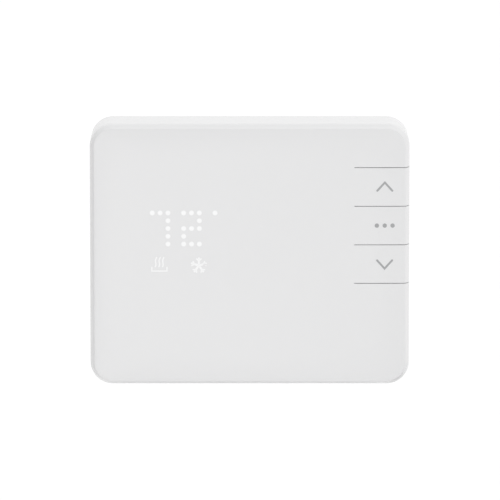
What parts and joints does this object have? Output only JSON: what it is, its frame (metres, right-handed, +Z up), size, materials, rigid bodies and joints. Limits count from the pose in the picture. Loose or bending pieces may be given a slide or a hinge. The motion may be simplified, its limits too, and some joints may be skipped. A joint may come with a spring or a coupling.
{
  "type": "wall thermostat",
  "caption": "Wall thermostat: a flat crowned front unit with flexing side keys and a dot display, which clips over a wall plate with push-in wire terminals.",
  "frame": {"origin": "centre of the wall screw pattern, on the back face of the wall plate, where it meets the wall", "axes": "+Z up; the front faces -Y and the wall is on the +Y side; +X to the right as seen from the front"},
  "size_m": [0.11, 0.026, 0.0904],
  "materials": {
    "plate_plastic": "moulded white plastic, fine spark texture",
    "clear_plastic": "clear moulded tube",
    "level_fluid": "tinted liquid",
    "terminal_plastic": "moulded nylon",
    "contact_metal": "plated brass",
    "tab_plastic": "moulded nylon",
    "cover_plastic": "white plastic with a satin surface",
    "rear_plastic": "moulded light grey plastic",
    "circuit_board": "green solder mask",
    "radio_board": "blue solder mask",
    "guide_plastic": "opaque white plastic",
    "diffuser_film": "milky film",
    "led": "light-emitting diode under clear resin",
    "spring_steel": "nickel-plated spring steel",
    "shield_steel": "tinned sheet steel",
    "screw_steel": "zinc-plated steel",
    "chip_plastic": "black moulding",
    "relay_plastic": "moulded plastic",
    "capacitor_can": "drawn aluminium can",
    "sensor_plastic": "small white package",
    "switch_body": "stamped steel frame",
    "plunger_plastic": "black plastic",
    "cell_wrap": "printed film over a steel can"
  },
  "bodies": {
    "wall_plate": {"wall_plate": "plate_plastic", "level_vial": "clear_plastic", "level_fluid": "level_fluid", "terminal_block_left": "terminal_plastic", "terminal_block_right": "terminal_plastic", "terminal_clips_left": "contact_metal", "terminal_clips_right": "contact_metal"},
    "front_unit": {"header_pins": "contact_metal", "front_cover": "cover_plastic", "rear_case": "rear_plastic", "main_board": "circuit_board", "radio_board": "radio_board", "light_guide": "guide_plastic", "diffuser": "diffuser_film", "display_leds": "led", "cell_spring_1": "spring_steel", "cell_spring_2": "spring_steel", "cell_spring_3": "spring_steel", "cell_spring_4": "spring_steel", "cell_contact_1": "spring_steel", "cell_contact_2": "spring_steel", "cell_contact_3": "spring_steel", "cell_contact_4": "spring_steel", "radio_shield": "shield_steel", "case_screws": "screw_steel", "board_screws": "screw_steel", "logic_chips": "chip_plastic", "pin_headers": "chip_plastic", "relays": "relay_plastic", "capacitors": "capacitor_can", "climate_sensor": "sensor_plastic", "switch_up": "switch_body", "switch_menu": "switch_body", "switch_down": "switch_body", "cell_1": "cell_wrap", "cell_2": "cell_wrap", "cell_3": "cell_wrap", "cell_4": "cell_wrap"},
    "key_up": {"key_up": "cover_plastic"},
    "key_menu": {"key_menu": "cover_plastic"},
    "key_down": {"key_down": "cover_plastic"},
    "plunger_up": {"plunger_up": "plunger_plastic"},
    "plunger_menu": {"plunger_menu": "plunger_plastic"},
    "plunger_down": {"plunger_down": "plunger_plastic"},
    "release_tab_1": {"release_tab_1": "tab_plastic"},
    "release_tab_2": {"release_tab_2": "tab_plastic"},
    "release_tab_3": {"release_tab_3": "tab_plastic"},
    "release_tab_4": {"release_tab_4": "tab_plastic"},
    "release_tab_5": {"release_tab_5": "tab_plastic"},
    "release_tab_6": {"release_tab_6": "tab_plastic"},
    "release_tab_7": {"release_tab_7": "tab_plastic"},
    "release_tab_8": {"release_tab_8": "tab_plastic"}
  },
  "joints": [
    {"name": "front_unit_pull", "type": "slide", "parent": "wall_plate", "child": "front_unit", "axis": [0, -1, 0], "range_m": [0, 0.03]},
    {"name": "key_up_press", "type": "hinge", "parent": "front_unit", "child": "key_up", "pos_m": [0.036, -0.0256, 0.0238], "axis": [0, 0, 1], "range_deg": [0, 1.6], "stiffness_Nm_per_rad": 0.6},
    {"name": "key_menu_press", "type": "hinge", "parent": "front_unit", "child": "key_menu", "pos_m": [0.036, -0.0256, 0.0104], "axis": [0, 0, 1], "range_deg": [0, 1.6], "stiffness_Nm_per_rad": 0.6},
    {"name": "key_down_press", "type": "hinge", "parent": "front_unit", "child": "key_down", "pos_m": [0.036, -0.0256, -0.003], "axis": [0, 0, 1], "range_deg": [0, 1.6], "stiffness_Nm_per_rad": 0.6},
    {"name": "plunger_up_slide", "type": "slide", "parent": "front_unit", "child": "plunger_up", "axis": [0, 1, 0], "range_m": [0, 0.0003]},
    {"name": "plunger_menu_slide", "type": "slide", "parent": "front_unit", "child": "plunger_menu", "axis": [0, 1, 0], "range_m": [0, 0.0003]},
    {"name": "plunger_down_slide", "type": "slide", "parent": "front_unit", "child": "plunger_down", "axis": [0, 1, 0], "range_m": [0, 0.0003]},
    {"name": "release_tab_1_press", "type": "slide", "parent": "wall_plate", "child": "release_tab_1", "axis": [0, 1, 0], "range_m": [0, 0.0015], "stiffness_N_per_m": 1200},
    {"name": "release_tab_2_press", "type": "slide", "parent": "wall_plate", "child": "release_tab_2", "axis": [0, 1, 0], "range_m": [0, 0.0015], "stiffness_N_per_m": 1200},
    {"name": "release_tab_3_press", "type": "slide", "parent": "wall_plate", "child": "release_tab_3", "axis": [0, 1, 0], "range_m": [0, 0.0015], "stiffness_N_per_m": 1200},
    {"name": "release_tab_4_press", "type": "slide", "parent": "wall_plate", "child": "release_tab_4", "axis": [0, 1, 0], "range_m": [0, 0.0015], "stiffness_N_per_m": 1200},
    {"name": "release_tab_5_press", "type": "slide", "parent": "wall_plate", "child": "release_tab_5", "axis": [0, 1, 0], "range_m": [0, 0.0015], "stiffness_N_per_m": 1200},
    {"name": "release_tab_6_press", "type": "slide", "parent": "wall_plate", "child": "release_tab_6", "axis": [0, 1, 0], "range_m": [0, 0.0015], "stiffness_N_per_m": 1200},
    {"name": "release_tab_7_press", "type": "slide", "parent": "wall_plate", "child": "release_tab_7", "axis": [0, 1, 0], "range_m": [0, 0.0015], "stiffness_N_per_m": 1200},
    {"name": "release_tab_8_press", "type": "slide", "parent": "wall_plate", "child": "release_tab_8", "axis": [0, 1, 0], "range_m": [0, 0.0015], "stiffness_N_per_m": 1200}
  ],
  "couplings": [
    {"joint": "plunger_up_slide", "follows": "key_up_press", "m_per_rad": 0.01065},
    {"joint": "plunger_menu_slide", "follows": "key_menu_press", "m_per_rad": 0.01065},
    {"joint": "plunger_down_slide", "follows": "key_down_press", "m_per_rad": 0.01065}
  ]
}
